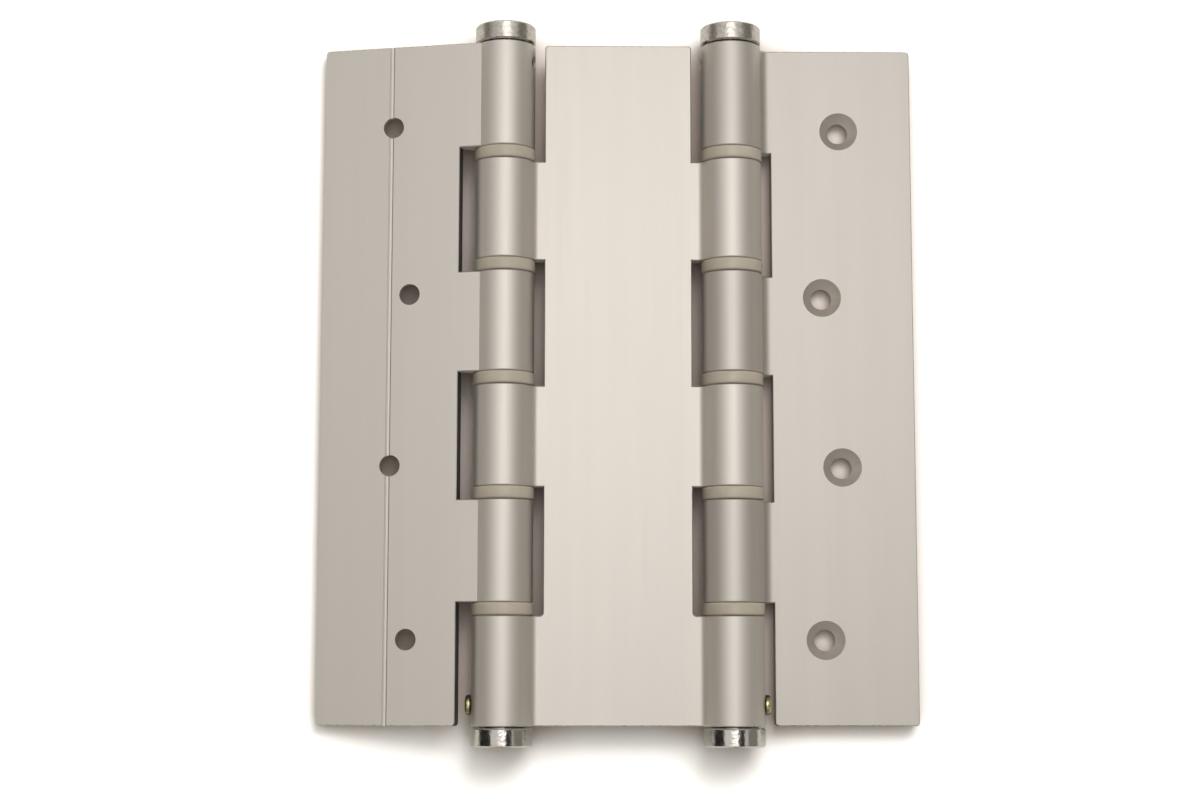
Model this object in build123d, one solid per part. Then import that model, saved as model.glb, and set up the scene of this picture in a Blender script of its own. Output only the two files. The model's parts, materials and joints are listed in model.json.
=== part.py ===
from build123d import *
from math import asin, atan, degrees, radians, tan
import os

# Double action spring hinge, laid open on a flat surface, in millimetres.
# X runs across the leaves, Y along the two barrels, Z up from the surface.

# Leaves and barrels
leaf_height = 180.0
axis_spacing = 60.2
barrel_diameter = 16.0
bore_diameter = 12.4
knuckle_count = 6
knuckle_gap = 3.5
leaf_reach = 48.4
leaf_thickness = 3.6
leaf_inner_offset = 2.6
leaf_notch_reach = 10.8
web_thickness = 4.0
web_notch_reach = 10.65
root_fillet = 2.4
web_fillet = 2.0
corner_radius = 0.9
edge_break = 0.25

# Screw holes in the outer leaves, in a zigzag
hole_count = 4
hole_diameter = 5.6
countersink_diameter = 10.2
countersink_angle = 90.0
hole_from_end = 22.1
hole_edge_near = 19.3
hole_edge_far = 24.2

# Marking groove on the outer face of each outer leaf
groove_edge_distance = 18.7
groove_width = 1.4
groove_floor_width = 0.5
groove_depth = 0.45

# Nylon bushes
flange_diameter = 16.3
flange_rim_chamfer = 0.4
bush_bore_diameter = 10.8
sleeve_length = 7.0
axial_play = 0.1
radial_play = 0.05

# End plugs
cap_thickness = 4.9
cap_seam = 0.4
cap_chamfer = 0.4
tension_shank = 18.0
anchor_shank = 14.0
key_socket_width = 6.0
key_socket_depth = 4.0
detent_count = 4

# Torsion springs
spring_wire = 2.0
spring_diameter = 10.2
spring_turns = 14
spring_leg = 4.0
spring_end_play = 0.3
leg_hole_play = 0.2

# Set screws in the top knuckles
grub_diameter = 4.0
grub_length = 3.4
grub_recess = 0.8
grub_socket_width = 2.0
grub_socket_depth = 1.6
grub_from_end = 5.0

# Dome-head screws in the bottom knuckles
lock_diameter = 3.0
lock_length = 4.6
lock_head_diameter = 5.3
lock_head_height = 1.5
lock_slot_width = 0.8
lock_slot_length = 2.6
lock_slot_depth = 0.7
lock_from_end = 5.4
screw_play = 0.05

# Sizes that follow from the ones above
pitch = leaf_height / knuckle_count
half_gap = knuckle_gap / 2
barrel_radius = barrel_diameter / 2
bore_radius = bore_diameter / 2
flange_radius = flange_diameter / 2
sleeve_radius = bore_radius - radial_play
coil_radius = (spring_diameter - spring_wire) / 2
leaf_outer_offset = leaf_inner_offset + leaf_thickness
hole_pitch = (leaf_height - 2 * hole_from_end) / (hole_count - 1)
overcut = 1.0
# The frame leaf leans until its free edge is level with the rims of the bushes
frame_lean = degrees(
    asin(flange_radius / (leaf_reach**2 + leaf_inner_offset**2) ** 0.5)
    + atan(leaf_inner_offset / leaf_reach)
)
door_turn = 0.0
frame_turn = 180.0 - frame_lean

leaf_knuckles = range(0, knuckle_count, 2)
web_knuckles = range(1, knuckle_count, 2)


def along_y(section, low, high):
    """Extrude a flat section, drawn as X across and Z up, from Y = low to high."""
    return Pos(0, high, 0) * extrude(Plane.XZ * section, amount=high - low)


def ring(outer, inner, low, high):
    """Tube on the barrel's axis."""
    return along_y(Circle(outer) - Circle(inner), low, high)


def radial(shape, distance, y, turn=0.0):
    """Stand a shape that points up +Z on a barrel, pointing out along -X, then turn it."""
    return Rot(0, turn, 0) * Pos(-distance, y, 0) * Rot(0, -90, 0) * shape


def post(radius, length):
    """Round post from the origin up."""
    return Cylinder(radius, length, align=(Align.CENTER, Align.CENTER, Align.MIN))


def gap_centre(index):
    """Y of the gap under a knuckle, counted from the top."""
    return leaf_height - (index + 1) * pitch


def notches(carried, reach):
    """Blocks that clear the places of the knuckles that another leaf carries."""
    blocks = []
    for index in carried:
        top = gap_centre(index - 1) + (half_gap if index > 0 else overcut)
        bottom = gap_centre(index) - (half_gap if index < knuckle_count - 1 else overcut)
        back = barrel_radius + overcut
        block = Pos(-back, bottom, -back) * Box(
            back + reach, top - bottom, 2 * back, align=(Align.MIN, Align.MIN, Align.MIN)
        )
        blocks.append(block)
    return blocks


def round_corners(leaf):
    """Round the corners of a leaf's flat plate at its two ends."""
    upright = leaf.edges().filter_by(Axis.Z).group_by(Axis.Y)
    return fillet(upright[0] + upright[-1], corner_radius)


def break_edges(leaf):
    """Break the sharp rims of the sawn ends and of the notch walls."""
    ends = leaf.faces().filter_by(Axis.Y).edges().filter_by(Axis.Z, reverse=True)
    walls = leaf.faces().filter_by(Axis.X).edges().filter_by(Axis.Y)
    return chamfer(ends + walls, edge_break)


def leaf_section():
    """Section of an outer leaf: barrel at the origin, leaf towards +X, inner face up."""
    plate = Pos(leaf_reach / 2, -leaf_inner_offset - leaf_thickness / 2) * Rectangle(
        leaf_reach, leaf_thickness
    )
    outline = Circle(barrel_radius) + plate
    root = outline.vertices().sort_by_distance((barrel_radius, -leaf_inner_offset))[0]
    return fillet(root, root_fillet)


def web_section():
    """Section of the centre leaf, with both barrels."""
    outline = Rectangle(axis_spacing, web_thickness)
    for side in (-1, 1):
        outline += Pos(side * axis_spacing / 2, 0) * Circle(barrel_radius)
    return fillet(outline.vertices(), web_fillet)


def countersunk_hole():
    """Screw hole with its countersink up, mouth at the origin."""
    sink_depth = (countersink_diameter - hole_diameter) / 2 / tan(radians(countersink_angle / 2))
    shaft = Pos(0, 0, -leaf_thickness - overcut) * post(hole_diameter / 2, leaf_thickness + 2 * overcut)
    sink = Pos(0, 0, -sink_depth) * Cone(
        hole_diameter / 2, countersink_diameter / 2, sink_depth, align=(Align.CENTER, Align.CENTER, Align.MIN)
    )
    return shaft + sink


def groove_section():
    """Section of the marking groove: sloping sides down to a flat floor, open at the leaf's face."""
    half_mouth, half_floor = groove_width / 2, groove_floor_width / 2
    side = [(half_floor, groove_depth), (half_mouth, 0), (half_mouth, -overcut)]
    other_side = [(-x, y) for x, y in reversed(side)]
    middle = Pos(leaf_reach - groove_edge_distance, -leaf_outer_offset)
    return middle * make_face(Polyline(side + other_side, close=True).edges())


def outer_leaf():
    """Leaf that is screwed to the door or to its frame, on its own barrel axis."""
    leaf = along_y(leaf_section(), 0, leaf_height)
    for block in notches(web_knuckles, leaf_notch_reach):
        leaf -= block
    leaf = break_edges(round_corners(leaf))
    leaf -= along_y(Circle(bore_radius), -overcut, leaf_height + overcut)
    for index in range(hole_count):
        edge_distance = hole_edge_far if index % 2 else hole_edge_near
        y = leaf_height - hole_from_end - index * hole_pitch
        leaf -= Pos(leaf_reach - edge_distance, y, -leaf_inner_offset) * countersunk_hole()
    leaf -= along_y(groove_section(), -overcut, leaf_height + overcut)
    leaf -= radial(post(grub_diameter / 2, barrel_radius + overcut), 0, leaf_height - grub_from_end)
    return leaf


def centre_leaf():
    """Leaf between the two barrels, midway between their axes."""
    leaf = along_y(web_section(), 0, leaf_height)
    for turn in (0, 180):
        side = Rot(0, turn, 0) * Pos(-axis_spacing / 2, 0, 0)
        for block in notches(leaf_knuckles, web_notch_reach):
            leaf -= side * block
    leaf = break_edges(round_corners(leaf))
    for turn in (0, 180):
        side = Rot(0, turn, 0) * Pos(-axis_spacing / 2, 0, 0)
        leaf -= side * along_y(Circle(bore_radius), -overcut, leaf_height + overcut)
        leaf -= side * radial(post(lock_diameter / 2 + screw_play, barrel_radius + overcut), 0, lock_from_end)
    return leaf


def bush(index):
    """Flanged nylon bearing between two knuckles, with a sleeve into each bore."""
    y = gap_centre(index)
    half_flange = half_gap - axial_play
    flange = ring(flange_radius, bush_bore_diameter / 2, y - half_flange, y + half_flange)
    rims = flange.edges().filter_by(GeomType.CIRCLE).group_by(SortBy.RADIUS)[-1]
    flange = chamfer(rims, flange_rim_chamfer)
    half_length = half_gap + sleeve_length
    return flange + ring(sleeve_radius, bush_bore_diameter / 2, y - half_length, y + half_length)


def end_plug(shank_length):
    """Cap and shank on the barrel axis, cap above Y = 0 and shank below it."""
    cap = along_y(Circle(barrel_radius), cap_seam, cap_seam + cap_thickness)
    cap = chamfer(cap.edges(), cap_chamfer)
    plug = cap + along_y(Circle(sleeve_radius), -shank_length, cap_seam + overcut)
    leg_hole = Pos(coil_radius, 0, 0) * along_y(
        Circle(spring_wire / 2**0.5 + leg_hole_play), -shank_length - overcut, spring_leg + overcut - shank_length
    )
    return plug - leg_hole


def tension_plug(turn):
    """Upper plug: a key socket in its cap, and detents for the set screw around its shank."""
    plug = end_plug(tension_shank)
    socket = RegularPolygon(key_socket_width / 2, 6, major_radius=False)
    top = cap_seam + cap_thickness
    plug -= along_y(socket, top - key_socket_depth, top + overcut)
    seat_radius = barrel_radius - grub_recess - grub_length
    for index in range(detent_count):
        detent = post(grub_diameter / 2 + screw_play, barrel_radius)
        plug -= radial(detent, seat_radius - screw_play, -grub_from_end, turn + index * 360 / detent_count)
    return Pos(0, leaf_height, 0) * plug


def anchor_plug(turn):
    """Lower plug, held by the dome-head screw."""
    plug = Rot(180, 0, 0) * end_plug(anchor_shank)
    tapped = post(lock_diameter / 2 + screw_play, barrel_radius)
    return plug - radial(tapped, barrel_radius - lock_length - screw_play, lock_from_end, turn)


def grub_screw(turn):
    """Set screw below the surface of the top knuckle, with a hexagon socket."""
    screw = post(grub_diameter / 2 - screw_play, grub_length)
    screw = chamfer(screw.edges().group_by(Axis.Z)[0], grub_recess / 2)
    socket = extrude(RegularPolygon(grub_socket_width / 2, 6, major_radius=False), grub_socket_depth)
    screw -= Pos(0, 0, grub_length - grub_socket_depth) * socket
    seat_radius = barrel_radius - grub_recess - grub_length
    return radial(screw, seat_radius, leaf_height - grub_from_end, turn)


def lock_screw(turn):
    """Dome-head screw through the wall of the bottom knuckle."""
    head_radius = lock_head_diameter / 2
    dome_radius = (head_radius**2 + lock_head_height**2) / (2 * lock_head_height)
    dome = Pos(0, 0, lock_head_height - dome_radius) * Sphere(dome_radius)
    screw = post(head_radius, lock_head_height) & dome
    for angle in (0, 90):
        slot = Box(lock_slot_length, lock_slot_width, 2 * lock_slot_depth)
        screw -= Pos(0, 0, lock_head_height) * Rot(0, 0, angle) * slot
    screw += Pos(0, 0, -lock_length) * post(lock_diameter / 2, lock_length)
    return radial(screw, barrel_radius + screw_play, lock_from_end, turn)


def torsion_spring():
    """Coil of square wire along the barrel, with a straight leg into each end plug."""
    low = anchor_shank + spring_end_play + spring_wire / 2
    high = leaf_height - tension_shank - spring_end_play - spring_wire / 2
    coil = Helix((high - low) / spring_turns, high - low, coil_radius)
    wire = Plane(coil @ 0, z_dir=coil % 0) * Rectangle(spring_wire, spring_wire)
    spring = Pos(0, low, 0) * Rot(-90, 0, 0) * sweep(wire, path=coil, is_frenet=True)
    leg = Box(spring_wire, spring_leg + spring_wire / 2, spring_wire)
    reach = spring_leg / 2 - spring_wire / 4
    for y in (low - reach, high + reach):
        spring += Pos(coil_radius, y, 0) * leg
    return spring


def door_barrel(shape):
    return Pos(axis_spacing / 2, 0, 0) * shape


def frame_barrel(shape):
    return Pos(-axis_spacing / 2, 0, 0) * shape


nodes = {"centre_leaf": centre_leaf()}
sides = {"frame": (frame_barrel, frame_turn, 0.0), "door": (door_barrel, door_turn, 180.0)}
for side, (place, turn, anchor_turn) in sides.items():
    nodes[f"{side}_leaf"] = place(Rot(0, turn, 0) * outer_leaf())
    for index in range(knuckle_count - 1):
        nodes[f"{side}_bush_{index + 1}"] = place(bush(index))
    nodes[f"{side}_tension_plug"] = place(tension_plug(turn))
    nodes[f"{side}_grub_screw"] = place(grub_screw(turn))
    nodes[f"{side}_anchor_plug"] = place(anchor_plug(anchor_turn))
    nodes[f"{side}_lock_screw"] = place(lock_screw(anchor_turn))
    nodes[f"{side}_spring"] = place(torsion_spring())

# The origin is under the middle of the hinge, on the surface that it lies on
boxes = [shape.bounding_box() for shape in nodes.values()]
middle_x = (min(box.min.X for box in boxes) + max(box.max.X for box in boxes)) / 2
middle_y = (min(box.min.Y for box in boxes) + max(box.max.Y for box in boxes)) / 2
to_origin = Pos(-middle_x, -middle_y, -min(box.min.Z for box in boxes))

os.makedirs("parts", exist_ok=True)
for name, shape in nodes.items():
    export_step(to_origin * shape, f"parts/{name}.step")
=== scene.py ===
import json
from math import pi, radians

import bpy
import bmesh
from mathutils import Matrix, Vector


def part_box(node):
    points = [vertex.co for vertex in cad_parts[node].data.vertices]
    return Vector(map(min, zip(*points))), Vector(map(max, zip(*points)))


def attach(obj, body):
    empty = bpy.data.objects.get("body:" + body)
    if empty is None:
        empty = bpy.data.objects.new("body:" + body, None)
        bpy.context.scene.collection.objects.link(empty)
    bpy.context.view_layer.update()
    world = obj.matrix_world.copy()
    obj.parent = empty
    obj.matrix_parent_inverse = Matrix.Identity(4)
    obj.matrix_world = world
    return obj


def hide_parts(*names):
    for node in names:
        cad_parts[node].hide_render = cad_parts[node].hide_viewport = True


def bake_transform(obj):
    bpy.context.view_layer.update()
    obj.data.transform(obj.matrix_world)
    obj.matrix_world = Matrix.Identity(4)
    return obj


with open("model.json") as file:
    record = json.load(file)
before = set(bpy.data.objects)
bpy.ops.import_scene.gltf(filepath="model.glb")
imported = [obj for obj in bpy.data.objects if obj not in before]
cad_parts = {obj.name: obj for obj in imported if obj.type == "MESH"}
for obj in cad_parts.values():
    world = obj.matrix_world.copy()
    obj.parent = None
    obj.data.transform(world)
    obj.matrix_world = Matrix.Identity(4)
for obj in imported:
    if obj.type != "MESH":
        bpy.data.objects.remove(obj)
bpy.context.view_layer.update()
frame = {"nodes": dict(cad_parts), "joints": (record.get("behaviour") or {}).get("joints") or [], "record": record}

scene = bpy.context.scene
mm = 0.001
sides = ("frame", "door")
print("frame loaded:", len(frame["nodes"]), "nodes")


# A node's output, so that maths on it reads as an expression
class Sock:
    def __init__(self, shader, out):
        self.shader = shader
        self.out = out

    def sums(self, operation, first, second=0.0, clamp=False):
        settings = {"operation": operation, "use_clamp": clamp}
        return self.shader.node("ShaderNodeMath", settings, {0: first, 1: second})

    def __add__(self, other):
        return self.sums("ADD", self, other)

    def __sub__(self, other):
        return self.sums("SUBTRACT", self, other)

    def __rsub__(self, other):
        return self.sums("SUBTRACT", other, self)

    def __mul__(self, other):
        return self.sums("MULTIPLY", self, other)

    def __truediv__(self, other):
        return self.sums("DIVIDE", self, other)

    def __gt__(self, other):
        return self.sums("GREATER_THAN", self, other)

    __radd__ = __add__
    __rmul__ = __mul__

    def size(self):
        return self.sums("ABSOLUTE", self)

    def clamped(self):
        return self.sums("ADD", self, 0.0, clamp=True)

    # 0 below low, 1 above high, a straight slope between
    def between(self, low, high):
        return ((self - low) / (high - low)).clamped()


class Shader:
    def __init__(self, name, tree=None):
        if tree is None:
            self.material = bpy.data.materials.new(name)
            self.material.use_nodes = True
            tree = self.material.node_tree
        self.tree = tree
        self.tree.nodes.clear()

    def node(self, kind, settings=None, sockets=None, output=0):
        made = self.tree.nodes.new(kind)
        for setting, value in (settings or {}).items():
            setattr(made, setting, value)
        for socket, value in (sockets or {}).items():
            if isinstance(value, Sock):
                self.tree.links.new(value.out, made.inputs[socket])
            else:
                made.inputs[socket].default_value = value
        return Sock(self, made.outputs[output]) if made.outputs else None

    def place(self):
        return self.node("ShaderNodeTexCoord", output="Object")

    # Distances from a point along the three axes, which may be turned about Y
    def axesFrom(self, point, turn=0.0):
        settings = {"operation": "SUBTRACT"}
        shifted = self.node("ShaderNodeVectorMath", settings, {0: self.place(), 1: tuple(point)})
        turned = self.node("ShaderNodeMapping", sockets={"Vector": shifted, "Rotation": (0, turn, 0)})
        split = self.node("ShaderNodeSeparateXYZ", sockets={0: turned})
        return [Sock(self, out) for out in split.out.node.outputs]

    def stretched(self, scale):
        return self.node("ShaderNodeMapping", sockets={"Vector": self.place(), "Scale": scale})

    def noise(self, scale, detail=2.0, stretch=(1, 1, 1)):
        sockets = {"Vector": self.stretched(stretch), "Scale": scale, "Detail": detail}
        return self.node("ShaderNodeTexNoise", sockets=sockets)

    def mix(self, factor, first, second, blend="MIX"):
        settings = {"data_type": "RGBA", "blend_type": blend}
        return self.node("ShaderNodeMix", settings, {0: factor, 6: first, 7: second}, output=2)

    def bump(self, height, strength, distance):
        sockets = {"Height": height, "Strength": strength, "Distance": distance}
        return self.node("ShaderNodeBump", sockets=sockets)

    def principled(self, **sockets):
        sockets = {name.replace("_", " "): value for name, value in sockets.items()}
        surface = self.node("ShaderNodeBsdfPrincipled", sockets=sockets)
        self.node("ShaderNodeOutputMaterial", sockets={"Surface": surface})
        return self.material

    def matt(self, tint):
        surface = self.node("ShaderNodeBsdfDiffuse", sockets={"Color": tint})
        self.node("ShaderNodeOutputMaterial", sockets={"Surface": surface})
        return self.material


def colour(red, green, blue):
    return (red, green, blue, 1.0)


# Finishes. Where a pattern has edges, it fades from none to all of it between the two values.
aluminium = {
    "pale": colour(0.785, 0.742, 0.70),
    "dull": colour(0.768, 0.726, 0.685),
    # painted shade: the door leaf is coloured darker for the less light it reflects than the other leaves
    "doorPaintedShade": colour(0.89, 0.89, 0.89),      # the door leaf is a shade darker than the others
    "dieStretch": (1.0, 0.012, 1.0),            # the extrusion die draws bands and lines out along Y
    "bands": 160.0,
    "bandEdges": (0.35, 0.65),
    "dieLines": 2600.0,
    "dieDetail": 3.0,
    "grain": 5200.0,
    "roughness": 0.56,
    "unevenness": 0.06,
    "lineHeight": 0.4,
    "reliefStrength": 0.6,
    "relief": 0.006 * mm,
}
# Small nicks on the rims of the sawn ends, by their distance from the end
nicks = {
    "halfLength": 90 * mm,
    "rimStart": (0.02 * mm, 0.08 * mm),
    "rimEnd": (0.14 * mm, 0.30 * mm),
    "spots": 900.0,
    "spotEdges": (0.48, 0.60),
    "tint": colour(0.40, 0.37, 0.33),
}
# Painted shade on the walls of the notches beside the barrels, by their distance from the barrel axis. It runs on
# round the corner at the end of the leaf where no knuckle is.
notchWallShade = {
    "outer": {"reach": 10.8 * mm, "middle": 4.4 * mm, "halfThickness": 1.8 * mm, "freeEnd": -1},
    "centre": {"reach": 10.65 * mm, "middle": 0.0, "halfThickness": 2.0 * mm, "freeEnd": 1},
    "wallEdges": (0.05 * mm, 0.09 * mm),
    "faceEdges": (0.06 * mm, 0.12 * mm),
    "cornerEdges": (0.7 * mm, 0.9 * mm),
    "tint": colour(0.16, 0.16, 0.165),
}
# The marking groove on the outer face of both outer leaves, by its distance from the barrel axis.
# Painted shade darkens its wall on the barrel's side, and a painted highlight lightens its floor and other wall.
groove = {
    "face": {"frame": 6.2 * mm, "door": -6.2 * mm},
    "mouthEdges": (0.03 * mm, 0.06 * mm),
    "floorEdges": (0.50 * mm, 0.55 * mm),
    "middle": 29.7 * mm,
    "sideEdges": (0.72 * mm, 0.74 * mm),
    "darkEdges": (-0.35 * mm, -0.25 * mm),
    "lit": colour(0.90, 0.87, 0.84),
    "dark": colour(0.34, 0.32, 0.28),
}


# Distances from a barrel axis in its outer leaf's own directions, or the centre leaf's
def fromBarrel(s, side, leaf):
    swing = next(joint for joint in frame["joints"] if joint["name"] == f"{side}_swing")
    return s.axesFrom(swing["pos_m"], radians(-swing["range_deg"][0]) if leaf == "outer" else 0.0)


def notchWallShadeTint(s, tint, side, leaf):
    across, along, offset = fromBarrel(s, side, leaf)
    cut = notchWallShade[leaf]
    pastWall = across.size() - cut["reach"]
    fromEnd = nicks["halfLength"] - along * cut["freeEnd"]
    flat = 1 - pastWall.size().between(*notchWallShade["wallEdges"])
    corner = ((1 - pastWall.between(*notchWallShade["cornerEdges"]))
              * (1 - fromEnd.between(*notchWallShade["cornerEdges"])))
    wall = (flat + corner).clamped()
    fromFace = cut["halfThickness"] - (offset.size() - cut["middle"]).size()
    # the notch walls are painted dark for the shade in the notches
    return s.mix(wall * fromFace.between(*notchWallShade["faceEdges"]), tint, notchWallShade["tint"])


def grooveLightAndShade(s, tint, side):
    across, _, offset = fromBarrel(s, side, "outer")
    depth = (offset - groove["face"][side]).size()
    cut = depth.between(*groove["mouthEdges"]) * (1 - depth.between(*groove["floorEdges"]))
    fromMiddle = across.size() - groove["middle"]
    inGroove = cut * (1 - fromMiddle.size().between(*groove["sideEdges"]))
    barrelWall = 1 - fromMiddle.between(*groove["darkEdges"])
    # painted highlight in the groove, with painted shade on its wall by the barrel
    return s.mix(inGroove, tint, s.mix(barrelWall, groove["lit"], groove["dark"]))


def nickTint(s, tint):
    _, along, _ = s.axesFrom((0, 0, 0))
    fromEnd = nicks["halfLength"] - along.size()
    rim = fromEnd.between(*nicks["rimStart"]) * (1 - fromEnd.between(*nicks["rimEnd"]))
    return s.mix(rim * s.noise(nicks["spots"]).between(*nicks["spotEdges"]), tint, nicks["tint"])


def satinAluminium(side=None):
    s = Shader(f"satin anodised aluminium {side or 'centre'}")
    stretch, detail = aluminium["dieStretch"], aluminium["dieDetail"]
    lines = s.noise(aluminium["dieLines"], detail, stretch)
    bands = s.noise(aluminium["bands"], detail, stretch)
    grain = s.noise(aluminium["grain"])
    tint = s.mix(bands.between(*aluminium["bandEdges"]), aluminium["dull"], aluminium["pale"])
    tint = nickTint(s, tint)
    # Painted shade on the door leaf, which reflects less light than the others
    if side == "door":
        tint = s.mix(1.0, tint, aluminium["doorPaintedShade"], blend="MULTIPLY")
    if side:
        tint = notchWallShadeTint(s, grooveLightAndShade(s, tint, side), side, "outer")
    else:
        for barrel in sides:
            tint = notchWallShadeTint(s, tint, barrel, "centre")
    uneven = aluminium["unevenness"]
    height = lines * aluminium["lineHeight"] + grain
    return s.principled(
        Base_Color=tint,
        Metallic=1.0,
        Roughness=aluminium["roughness"] + lines * uneven + grain * uneven - uneven,
        Normal=s.bump(height, aluminium["reliefStrength"], aluminium["relief"]),
    )


nylon = {
    "dull": colour(0.325, 0.29, 0.235),
    "pale": colour(0.375, 0.335, 0.275),
    "clouds": 160.0,
    "cloudDetail": 3.0,
    "cloudEdges": (0.3, 0.7),
    "roughness": 0.34,
    "milkiness": 0.15,
    "milkColour": (1.0, 0.9, 0.6),
    "milkDepth": 0.6 * mm,
}


def naturalNylon():
    s = Shader("natural nylon")
    clouds = s.noise(nylon["clouds"], nylon["cloudDetail"])
    return s.principled(
        Base_Color=s.mix(clouds.between(*nylon["cloudEdges"]), nylon["dull"], nylon["pale"]),
        Roughness=nylon["roughness"],
        Subsurface_Weight=nylon["milkiness"],
        Subsurface_Radius=nylon["milkColour"],
        Subsurface_Scale=nylon["milkDepth"],
    )


# The upper plugs have a key socket, and are rougher than the lower ones and darker in patches
chrome = {
    "bright": colour(0.68, 0.65, 0.62),
    "keyed": colour(0.50, 0.465, 0.43),
    "keyedDulling": 0.12,
    "chips": 1100.0,
    "chipDetail": 5.0,
    "chipEdges": (0.30, 0.62),
    "pits": 2300.0,
    "pitEdges": (0.64, 0.74),
    "pitted": colour(0.34, 0.31, 0.28),
    "shankEdges": (90.28 * mm, 90.4 * mm),      # inside the caps' seams the shanks are painted dark, for the shade in the seam gaps
    "seamShade": colour(0.03, 0.028, 0.025),
    "waves": 240.0,
    "waveDetail": 3.0,
    "roughness": 0.13,
    "unevenness": 0.10,
    "smoothest": 0.03,
    "chipHeight": 3.0,
    "pitHeight": 0.3,
    "rippleStrength": 0.5,
    "ripple": 0.04 * mm,
}


def polishedChrome():
    s = Shader("polished chrome")
    waves = s.noise(chrome["waves"], chrome["waveDetail"])
    pits = s.noise(chrome["pits"])
    chips = s.noise(chrome["chips"], chrome["chipDetail"])
    _, along, _ = s.axesFrom((0, 0, 0))
    upper = along > 0.0
    plated = s.mix(upper * chips.between(*chrome["chipEdges"]), chrome["bright"], chrome["keyed"])
    tint = s.mix(pits.between(*chrome["pitEdges"]), plated, chrome["pitted"])
    # painted shade on the shanks inside the caps' seams
    shank = 1 - along.size().between(*chrome["shankEdges"])
    height = waves + chips * chrome["chipHeight"] + pits * chrome["pitHeight"]
    return s.principled(
        Base_Color=s.mix(shank, tint, chrome["seamShade"]),
        Metallic=1.0,
        Roughness=(chrome["roughness"] + waves * chrome["unevenness"] - chrome["smoothest"]
                   + upper * chrome["keyedDulling"]),
        Normal=s.bump(height, chrome["rippleStrength"], chrome["ripple"]),
    )


# Painted shade on the screws' heads, round the rim and next to the barrel
zinc = {
    "golden": colour(0.78, 0.68, 0.34),
    "greenish": colour(0.64, 0.64, 0.36),
    "clouds": 700.0,
    "cloudDetail": 3.0,
    "cloudEdges": (0.35, 0.65),
    "rimAndFootShade": colour(0.035, 0.032, 0.018),
    "rimEdges": (1.3 * mm, 2.4 * mm),           # out from the screw's axis
    "footEdges": (1.4 * mm, 1.1 * mm),          # down from the top of its head
    "roughness": 0.24,
}


def yellowZinc():
    s = Shader("yellow zinc")
    clouds = s.noise(zinc["clouds"], zinc["cloudDetail"])
    tint = s.mix(clouds.between(*zinc["cloudEdges"]), zinc["golden"], zinc["greenish"])
    low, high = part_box("frame_lock_screw")
    across, along, _ = s.axesFrom((0, (low.y + high.y) / 2, 0))
    rim = along.size().between(*zinc["rimEdges"])
    foot = 1 - across.size().between(*[-low.x - fromTop for fromTop in zinc["footEdges"]])
    return s.principled(
        # painted shade at the head's rim and at its foot by the barrel
        Base_Color=s.mix((1 - rim) * (1 - foot), zinc["rimAndFootShade"], tint),
        Metallic=1.0,
        Roughness=zinc["roughness"],
    )


steels = {
    "black oxide": {
        "tones": (colour(0.05, 0.05, 0.055), colour(0.09, 0.085, 0.08)),
        "clouds": 900.0,
        "metallic": 0.8,
        "roughness": 0.4,
    },
    "oiled spring steel": {
        "tones": (colour(0.22, 0.22, 0.23), colour(0.32, 0.31, 0.30)),
        "clouds": 400.0,
        "metallic": 1.0,
        "roughness": 0.33,
    },
}


def cloudedSteel(name):
    s = Shader(name)
    steel = steels[name]
    return s.principled(
        Base_Color=s.mix(s.noise(steel["clouds"]), *steel["tones"]),
        Metallic=steel["metallic"],
        Roughness=steel["roughness"],
    )


finishes = {
    "anodised_aluminium": satinAluminium(),
    "nylon": naturalNylon(),
    "chrome": polishedChrome(),
    "yellow_zinc": yellowZinc(),
    "blackened_steel": cloudedSteel("black oxide"),
    "spring_steel": cloudedSteel("oiled spring steel"),
}
groovedFinishes = {f"{side}_leaf": satinAluminium(side) for side in sides}
for subpart in frame["record"]["subparts"]:
    node = subpart["node"]
    mesh = frame["nodes"][node].data
    mesh.materials.clear()
    mesh.materials.append(groovedFinishes.get(node, finishes[subpart["material_slot"]]))
print("finishes:", len(finishes) + len(groovedFinishes))


def finishedPiece(name, bm, slotName, node):
    bmesh.ops.remove_doubles(bm, verts=bm.verts, dist=0.001 * mm)
    bmesh.ops.recalc_face_normals(bm, faces=bm.faces)
    mesh = bpy.data.meshes.new(name)
    bm.to_mesh(mesh)
    bm.free()
    mesh.materials.append(finishes[slotName])
    piece = bpy.data.objects.new(name, mesh)
    scene.collection.objects.link(piece)
    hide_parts(node)
    return piece


# A round bevel of the given edges
def rounded(bm, edges, width, segments):
    bmesh.ops.bevel(bm, geom=edges, offset=width, offset_type="OFFSET", affect="EDGES",
                    segments=segments, profile=0.5, material=-1)


# Bushes: each flange stands out of its gap as a round-edged ring
bushes = {
    "count": 5,
    "flangeWidth": 3.3 * mm,
    "rimRound": 0.55 * mm,
    "sleeveRadius": 6.15 * mm,
    "boreRadius": 5.4 * mm,
    "turns": 96,
    "rimSegments": 6,
}


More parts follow.
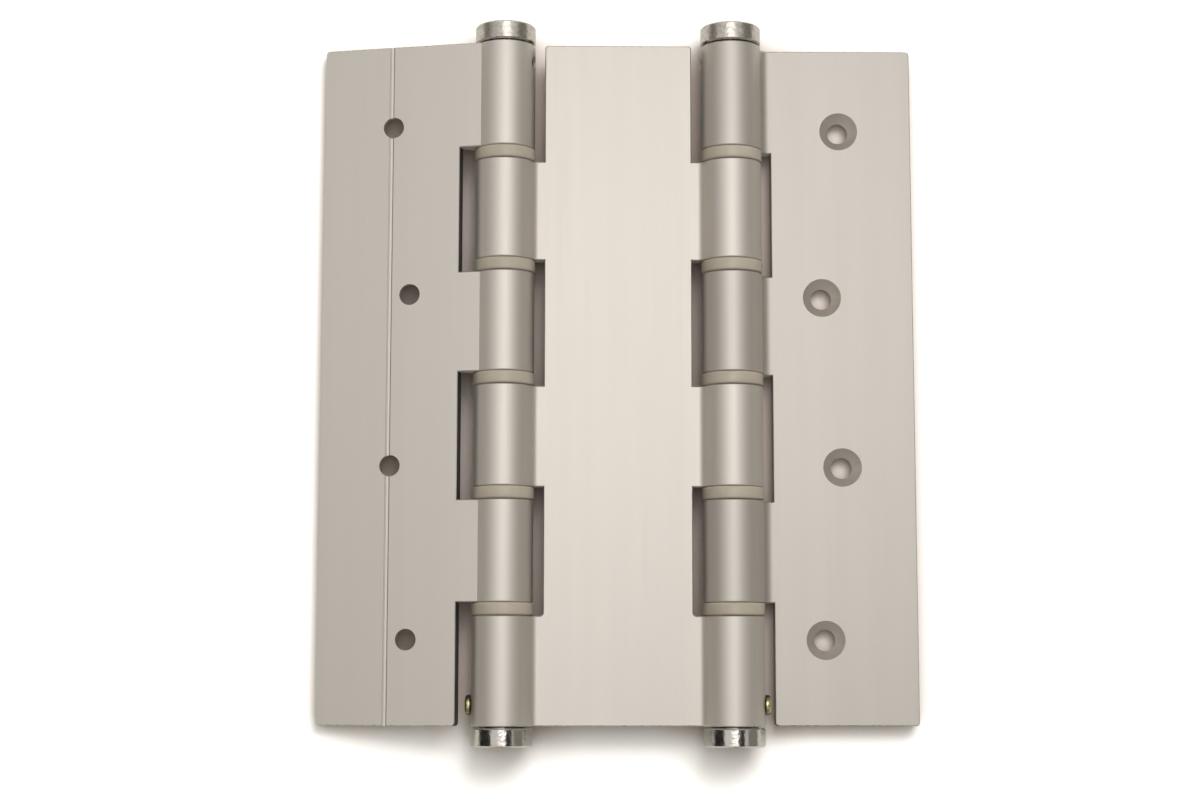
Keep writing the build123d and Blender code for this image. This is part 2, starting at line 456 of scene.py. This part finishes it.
def roundBush(side, number):
    node = f"{side}_bush_{number}"
    low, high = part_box(node)
    axis = (low + high) / 2
    bore, sleeve, rim = bushes["boreRadius"], bushes["sleeveRadius"], (high.x - low.x) / 2
    halfLength, halfFlange = (high.y - low.y) / 2, bushes["flangeWidth"] / 2
    profile = [
        (bore, -halfLength),
        (sleeve, -halfLength),
        (sleeve, -halfFlange),
        (rim, -halfFlange),
        (rim, halfFlange),
        (sleeve, halfFlange),
        (sleeve, halfLength),
        (bore, halfLength),
    ]
    bm = bmesh.new()
    corners = [bm.verts.new(axis + Vector((radius, along, 0))) for radius, along in profile]
    for ends in zip(corners, corners[1:] + corners[:1]):
        bm.edges.new(ends)
    bmesh.ops.spin(bm, geom=bm.edges[:], cent=axis, axis=(0, 1, 0), angle=2 * pi,
                   steps=bushes["turns"], use_merge=True)
    near = 0.01 * mm
    rims = []
    for edge in bm.edges:
        ends = [vert.co - axis for vert in edge.verts]
        level = abs(ends[0].y - ends[1].y) < near
        if level and all(Vector((end.x, end.z)).length > rim - near for end in ends):
            rims.append(edge)
    rounded(bm, rims, bushes["rimRound"], bushes["rimSegments"])
    piece = finishedPiece(f"{side}RoundBush{number}", bm, "nylon", node)
    piece.data.shade_smooth()
    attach(piece, f"{side}_side")


for side in sides:
    for number in range(1, bushes["count"] + 1):
        roundBush(side, number)
print("bushes:", 2 * bushes["count"])


def twistingSpring(side):
    node = f"{side}_spring"
    bm = bmesh.new()
    bm.from_mesh(frame["nodes"][node].data)
    piece = finishedPiece(f"{side}TwistingSpring", bm, "spring_steel", node)
    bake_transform(piece)


for side in sides:
    twistingSpring(side)
print("springs:", len(sides))


# Screws beside the lower plugs: a flat head with a rounded rim and a cross in it. Each is made
# standing on its point, and then laid down with its head away from the centre leaf.
screws = {
    "shankRadius": 1.5 * mm,
    "shankLength": 4.6 * mm,
    "headRadius": 2.65 * mm,
    "headHeight": 1.4 * mm,
    "rimRound": 0.95 * mm,
    "rimSegments": 7,
    "turns": 48,
    "crossReach": 1.3 * mm,
    "crossHalfWidth": 0.32 * mm,
    "crossDepth": 0.8 * mm,
    "crossTaper": 0.7,
    "sharpAngle": 35.0,
}


# Lifts a face off its neighbours, with walls under its edges
def raised(bm, face, height, wider=1.0):
    top = bmesh.ops.extrude_discrete_faces(bm, faces=[face])["faces"][0]
    bmesh.ops.scale(bm, vec=(wider, wider, 1), verts=top.verts)
    bmesh.ops.translate(bm, vec=(0, 0, height), verts=top.verts)
    return top


def crossInTop(bm, top):
    height = top.verts[0].co.z
    reach, half, taper = screws["crossReach"], screws["crossHalfWidth"], screws["crossTaper"]
    quarter = [(half, reach), (half, half), (reach, half)]
    corners = []
    for _ in range(4):
        corners += [bm.verts.new((x, y, height)) for x, y in quarter]
        quarter = [(y, -x) for x, y in quarter]
    mouth = [bm.edges.new(ends) for ends in zip(corners, corners[1:] + corners[:1])]
    rim = top.edges[:]
    bmesh.ops.delete(bm, geom=[top], context="FACES_ONLY")
    bmesh.ops.triangle_fill(bm, use_beauty=True, edges=rim + mouth)
    sunk = bmesh.ops.extrude_edge_only(bm, edges=mouth)["geom"]
    floor = [item for item in sunk if isinstance(item, bmesh.types.BMVert)]
    bmesh.ops.scale(bm, vec=(taper, taper, 1), verts=floor)
    bmesh.ops.translate(bm, vec=(0, 0, -screws["crossDepth"]), verts=floor)
    outline = [edge for edge in bm.edges if all(vert in floor for vert in edge.verts)]
    bmesh.ops.contextual_create(bm, geom=outline)


def panHeadScrew(side):
    node = f"{side}_lock_screw"
    low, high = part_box(node)
    point, quarterTurn = (high.x, -pi / 2) if side == "frame" else (low.x, pi / 2)
    bm = bmesh.new()
    bmesh.ops.create_circle(bm, cap_ends=True, radius=screws["shankRadius"],
                            segments=screws["turns"])
    tip = bm.faces[:][0]
    copied = bmesh.ops.duplicate(bm, geom=[tip])["face_map"][tip]
    shank = raised(bm, copied, screws["shankLength"])
    foot = raised(bm, shank, 0.0, screws["headRadius"] / screws["shankRadius"])
    top = raised(bm, foot, screws["headHeight"])
    rounded(bm, top.edges[:], screws["rimRound"], screws["rimSegments"])
    crossInTop(bm, max(bm.faces, key=lambda face: face.calc_center_median().z))
    bmesh.ops.rotate(bm, matrix=Matrix.Rotation(quarterTurn, 3, "Y"), verts=bm.verts)
    place = (point, (low.y + high.y) / 2, (low.z + high.z) / 2)
    bmesh.ops.translate(bm, vec=place, verts=bm.verts)
    piece = finishedPiece(f"{side}PanHeadScrew", bm, "yellow_zinc", node)
    piece.data.shade_smooth()
    piece.data.set_sharp_from_angle(angle=radians(screws["sharpAngle"]))
    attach(piece, "centre")


for side in sides:
    panHeadScrew(side)
print("screws:", len(sides))


# A flat sheet of the stage, from its low corner to its high one
def stageSheet(name, low, high, height, material):
    (left, front), (right, back) = low, high
    middle = ((left + right) / 2, (front + back) / 2, height)
    bm = bmesh.new()
    bmesh.ops.create_grid(bm, x_segments=1, y_segments=1, size=0.5)
    bmesh.ops.scale(bm, vec=(right - left, back - front, 1), verts=bm.verts)
    bmesh.ops.translate(bm, vec=middle, verts=bm.verts)
    mesh = bpy.data.meshes.new(name)
    bm.to_mesh(mesh)
    bm.free()
    mesh.materials.append(material)
    sheet = bpy.data.objects.new(name, mesh)
    scene.collection.objects.link(sheet)
    return sheet


# The table is brighter to the eye than it is lit, so the background is pure white
table = {
    "low": (-4.0, -4.0),
    "high": (4.0, 4.0),
    "white": 0.75,
    "seenWhite": 1.25,
    "mirroredWhite": 0.72,
    "mirroredTint": colour(0.985, 0.98, 0.915),
    "openTint": colour(1, 1, 1),
    "shadeTint": colour(0.385, 0.32, 0.29),
    "shadeReach": 14 * mm,
    "shadeEdges": (0.2, 1.0),
    "shadeSamples": 8,
}


def paleTable():
    s = Shader("pale table")
    seen, mirrored, through = [s.node("ShaderNodeLightPath", output=f"Is {kind} Ray")
                               for kind in ("Camera", "Glossy", "Transmission")]
    level = (table["white"] + seen * (table["seenWhite"] - table["white"])
             + (mirrored + through) * (table["mirroredWhite"] - table["white"]))
    openness = s.node("ShaderNodeAmbientOcclusion", {"samples": table["shadeSamples"]},
                      {"Distance": table["shadeReach"]}, output="AO")
    tint = s.mix(openness.between(*table["shadeEdges"]), table["shadeTint"], table["openTint"])
    tint = s.mix(mirrored, tint, table["mirroredTint"])
    lit = s.node("ShaderNodeVectorMath", {"operation": "SCALE"}, {"Vector": tint, "Scale": level})
    stageSheet("table", table["low"], table["high"], 0.0, s.matt(lit))


# A small bright softbox makes the highlights, a wide one the slopes beside them, and a lamp
# that only matt surfaces see throws the soft shadow to the left and the foot of the hinge
lamps = {
    "small softbox": {"place": (0.03, 0.11, 0.62), "size": (0.30, 0.44), "glow": 2.1},
    "wide softbox": {"place": (-0.22, 0.08, 0.85), "size": (2.20, 1.50), "glow": 0.50},
    "shadow lamp": {"place": (0.32, 0.62, 0.90), "size": (0.75, 0.60), "glow": 5.8, "matt": True},
}
studio = {
    "lampColour": (1.0, 0.985, 0.965),
    "roomColour": colour(0.236, 0.224, 0.194),
    "cardColour": colour(0.004, 0.004, 0.004),
}


def softStudio():
    for name, settings in lamps.items():
        light = bpy.data.lights.new(name, "AREA")
        light.shape = "RECTANGLE"
        light.size, light.size_y = settings["size"]
        light.energy = settings["glow"] * pi * light.size * light.size_y
        light.color = studio["lampColour"]
        lamp = bpy.data.objects.new(name, light)
        lamp.location = settings["place"]
        if settings.get("matt"):
            lamp.rotation_euler = Vector(settings["place"]).to_track_quat("Z", "Y").to_euler()
            lamp.visible_glossy = False
        lamp.visible_camera = False
        scene.collection.objects.link(lamp)
    world = bpy.data.worlds.new("dim room")
    world.use_nodes = True
    scene.world = world
    s = Shader("dim room", world.node_tree)
    room = s.node("ShaderNodeBackground", sockets={"Color": studio["roomColour"], "Strength": 1.0})
    s.node("ShaderNodeOutputWorld", sockets={"Surface": room})


# What the bright plugs mirror beside the softboxes: the camera, its stand, an arm and a shelf
darkCards = {
    "camera": {"low": (0.13, -0.30), "high": (0.44, -0.02), "height": 0.56},
    "stand": {"low": (-0.055, -0.26), "high": (-0.030, -0.03), "height": 0.56},
    "arm": {"low": (-1.60, -0.30), "high": (-0.42, -0.02), "height": 0.50},
    "shelf": {"low": (-4.00, -0.90), "high": (-1.60, 0.10), "height": 0.50},
}


def darkCardsInStudio():
    black = Shader("black card").matt(studio["cardColour"])
    for name, card in darkCards.items():
        sheet = stageSheet(name, card["low"], card["high"], card["height"], black)
        sheet.visible_camera = False
        sheet.visible_shadow = False
        sheet.visible_diffuse = False


# Turned in degrees, with the lens and the sensor's width in millimetres
camera = {
    "place": (-0.011166, -0.075450, 0.568030),
    "turn": (7.149223, -0.670353, 0.060837),
    "lens": 64.40,
    "sensor": 36.0,
}


def cameraOverTable():
    lens = bpy.data.cameras.new("camera over the table")
    lens.lens = camera["lens"]
    lens.sensor_width = camera["sensor"]
    viewer = bpy.data.objects.new("camera over the table", lens)
    viewer.location = camera["place"]
    viewer.rotation_euler = [radians(angle) for angle in camera["turn"]]
    scene.collection.objects.link(viewer)
    scene.camera = viewer


paleTable()
softStudio()
darkCardsInStudio()
cameraOverTable()
scene.view_settings.view_transform = "Standard"
print("studio ready")
